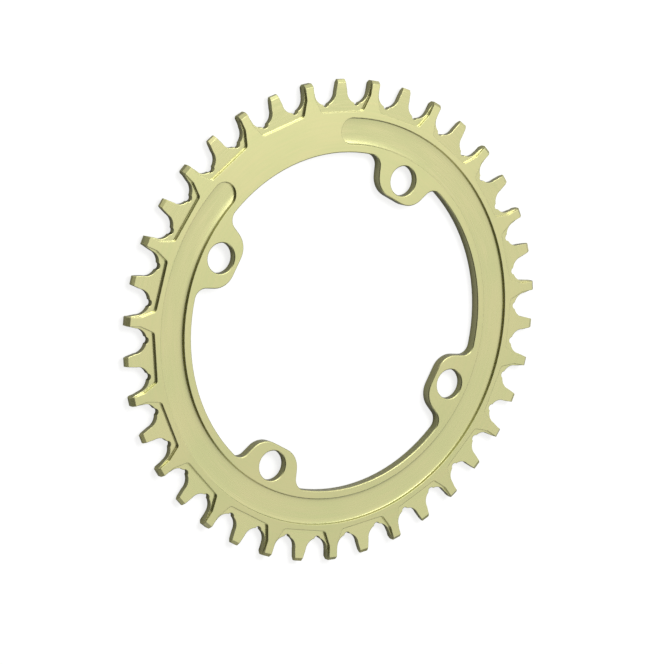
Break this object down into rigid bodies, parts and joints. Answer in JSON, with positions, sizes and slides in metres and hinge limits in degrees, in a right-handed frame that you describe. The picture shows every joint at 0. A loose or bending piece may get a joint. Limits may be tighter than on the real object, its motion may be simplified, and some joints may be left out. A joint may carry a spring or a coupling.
{
  "type": "bicycle chainring",
  "caption": "Flat single chainring with alternating wide and narrow teeth, a grooved face and inward tabs that bolt to a crank spider.",
  "frame": {"origin": "centre of the bolt circle, on the plane of the inboard face that the ring rests on", "axes": "+Z along the ring's axis, out of the grooved outboard face; +X through the centre of one bolt hole, which a wide tooth lines up with"},
  "size_m": [0.1612, 0.1608, 0.0038],
  "materials": {
    "anodised_aluminium": "pale gold satin anodised, fine turned marks"
  },
  "bodies": {
    "root": {"chainring": "anodised_aluminium"}
  },
  "joints": []
}
